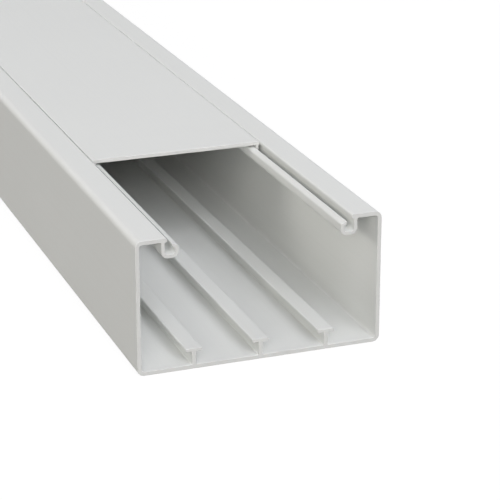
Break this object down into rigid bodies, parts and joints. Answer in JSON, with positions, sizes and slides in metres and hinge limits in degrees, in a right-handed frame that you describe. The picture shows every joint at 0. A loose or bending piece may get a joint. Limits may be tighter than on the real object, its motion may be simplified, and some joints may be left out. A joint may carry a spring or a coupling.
{
  "type": "cord cover raceway",
  "caption": "Straight length of grey plastic cable raceway: an open channel with hook grooves and floor rails, and a flat snap-in cover drawn back along it.",
  "frame": {"origin": "middle of the base channel's back face, the face that goes on the wall", "axes": "+X across the channel, +Y along it away from the open end, +Z from the back face to the cover"},
  "size_m": [0.11, 2.11, 0.06],
  "materials": {
    "grey_pvc": "satin"
  },
  "bodies": {
    "base": {"base_channel": "grey_pvc"},
    "cover": {"snap_in_cover": "grey_pvc"}
  },
  "joints": [
    {"name": "cover_slide", "type": "slide", "parent": "base", "child": "cover", "axis": [0, -1, 0], "range_m": [-0.89, 0.11]}
  ]
}
